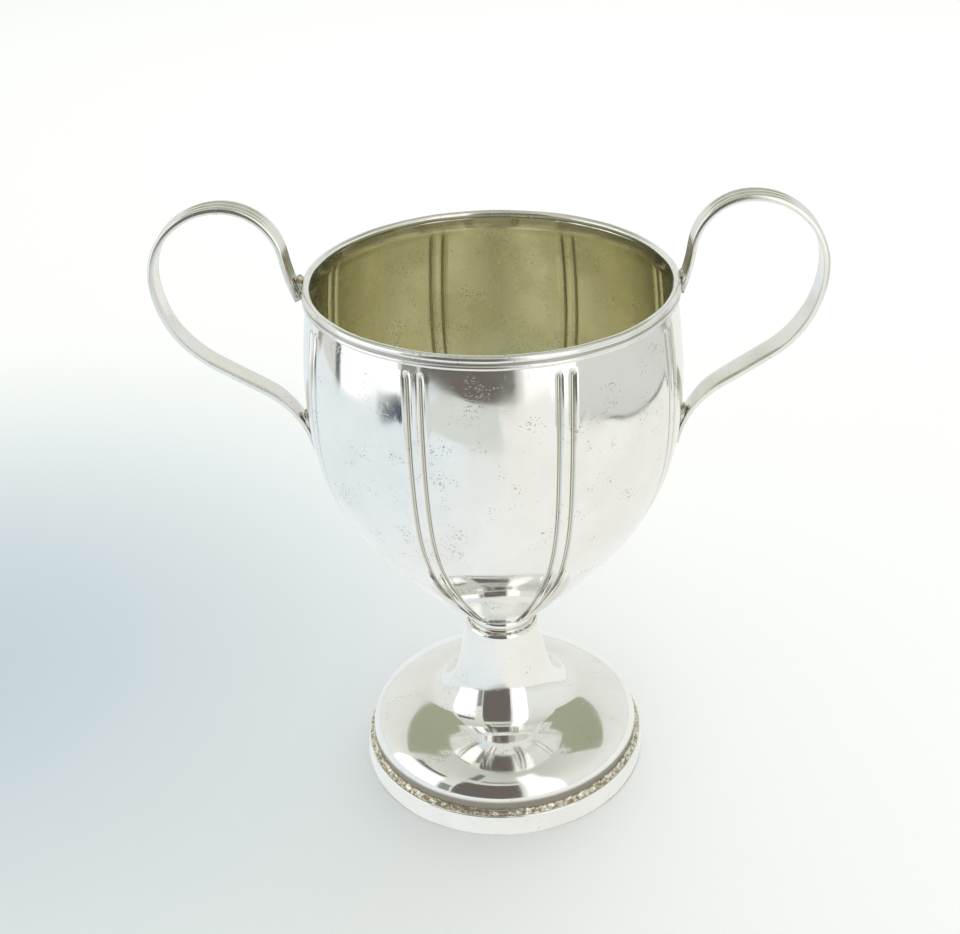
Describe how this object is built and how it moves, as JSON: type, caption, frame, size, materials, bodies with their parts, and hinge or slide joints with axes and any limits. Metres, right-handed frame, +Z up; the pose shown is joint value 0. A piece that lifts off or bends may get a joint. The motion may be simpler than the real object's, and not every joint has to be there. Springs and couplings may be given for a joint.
{
  "type": "two-handled cup trophy",
  "caption": "Small silver loving cup: fluted ovoid bowl with a reeded rim, reeded strap handles, and a flared round foot on a stepped base band.",
  "frame": {"origin": "centre of the circle on which the foot stands", "axes": "+Z up along the cup's axis; the two handles lie along -X and +X; +Y is across, towards the back"},
  "size_m": [0.1314, 0.0756, 0.1319],
  "materials": {
    "bowl_silver": "polished silver, fine scratches and pitting, olive tarnish inside",
    "rim_silver": "polished silver, worn, speckled",
    "foot_silver": "polished silver, fine scratches",
    "band_silver": "polished silver, worn edge, brown tarnish in the corner",
    "handle_silver": "polished silver, slightly dull, dark tarnish between the reeds",
    "solder": "rough silver solder, yellowish tarnish"
  },
  "bodies": {
    "root": {"bowl": "bowl_silver", "rim_wire": "rim_silver", "collar": "foot_silver", "collar_solder": "solder", "foot": "foot_silver", "foot_band": "band_silver", "band_solder": "solder", "handle_right": "handle_silver", "handle_right_rim_solder": "solder", "handle_right_bowl_solder": "solder", "handle_left": "handle_silver", "handle_left_rim_solder": "solder", "handle_left_bowl_solder": "solder"}
  },
  "joints": []
}
